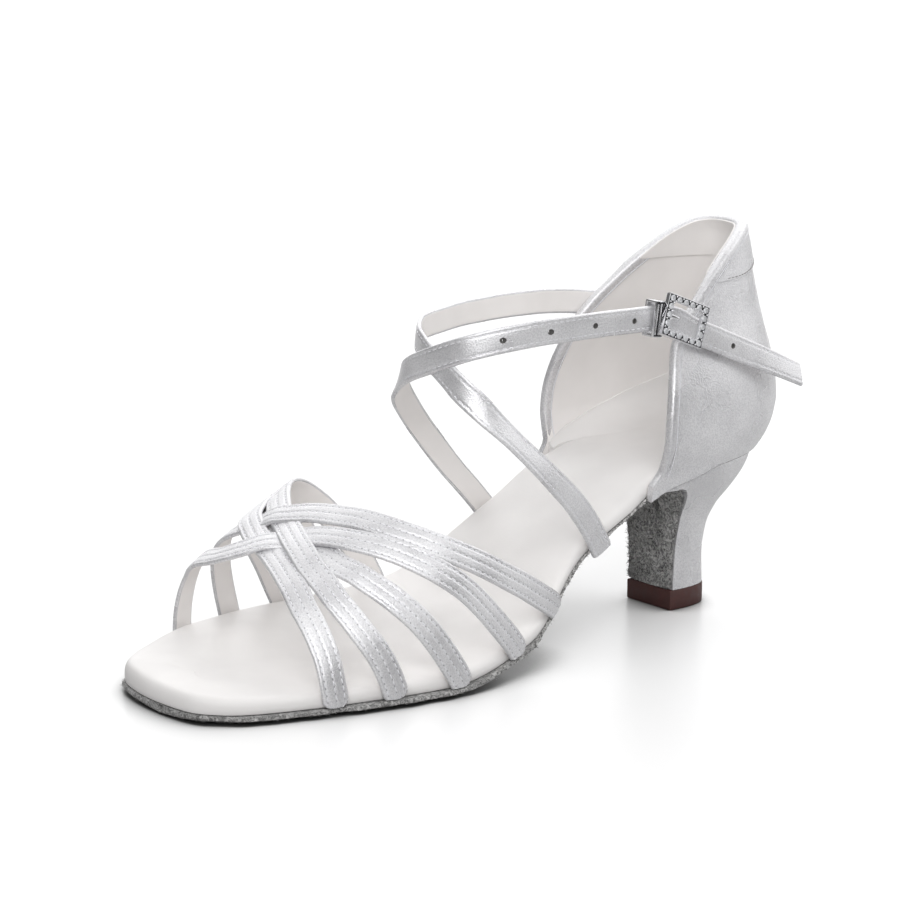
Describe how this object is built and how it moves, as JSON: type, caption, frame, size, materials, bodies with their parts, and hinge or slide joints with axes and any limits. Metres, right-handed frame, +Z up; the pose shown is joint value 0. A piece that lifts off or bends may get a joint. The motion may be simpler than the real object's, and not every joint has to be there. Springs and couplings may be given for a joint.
{
  "type": "dance sandal",
  "caption": "Open strap sandal for Latin dance, left foot: woven vamp straps, crossed ankle straps with a stone-set buckle, closed heel cup, suede sole and flared heel.",
  "frame": {"origin": "on the floor, under the middle of the shoe's bounding box", "axes": "+X to the toe, +Y to the outer side of the left foot, +Z up"},
  "size_m": [0.214, 0.0864, 0.1093],
  "materials": {
    "satin": "white satin with a soft grey sheen",
    "padded_insole": "smooth pale padded leather",
    "suede": "grey napped suede",
    "top_lift": "dark maroon, matt",
    "buckle_metal": "polished silver",
    "stone": "clear cut stone"
  },
  "bodies": {
    "root": {"outsole": "suede", "insole": "padded_insole", "heel": "satin", "top_lift": "top_lift", "counter": "satin", "vamp_straps": "satin", "ankle_straps": "satin", "buckle_frame": "buckle_metal", "buckle_loop": "buckle_metal", "stone_01": "stone", "stone_02": "stone", "stone_03": "stone", "stone_04": "stone", "stone_05": "stone", "stone_06": "stone", "stone_07": "stone", "stone_08": "stone", "stone_09": "stone", "stone_10": "stone", "stone_11": "stone", "stone_12": "stone", "stone_13": "stone", "stone_14": "stone", "stone_15": "stone", "stone_16": "stone", "stone_17": "stone", "stone_18": "stone"}
  },
  "joints": []
}
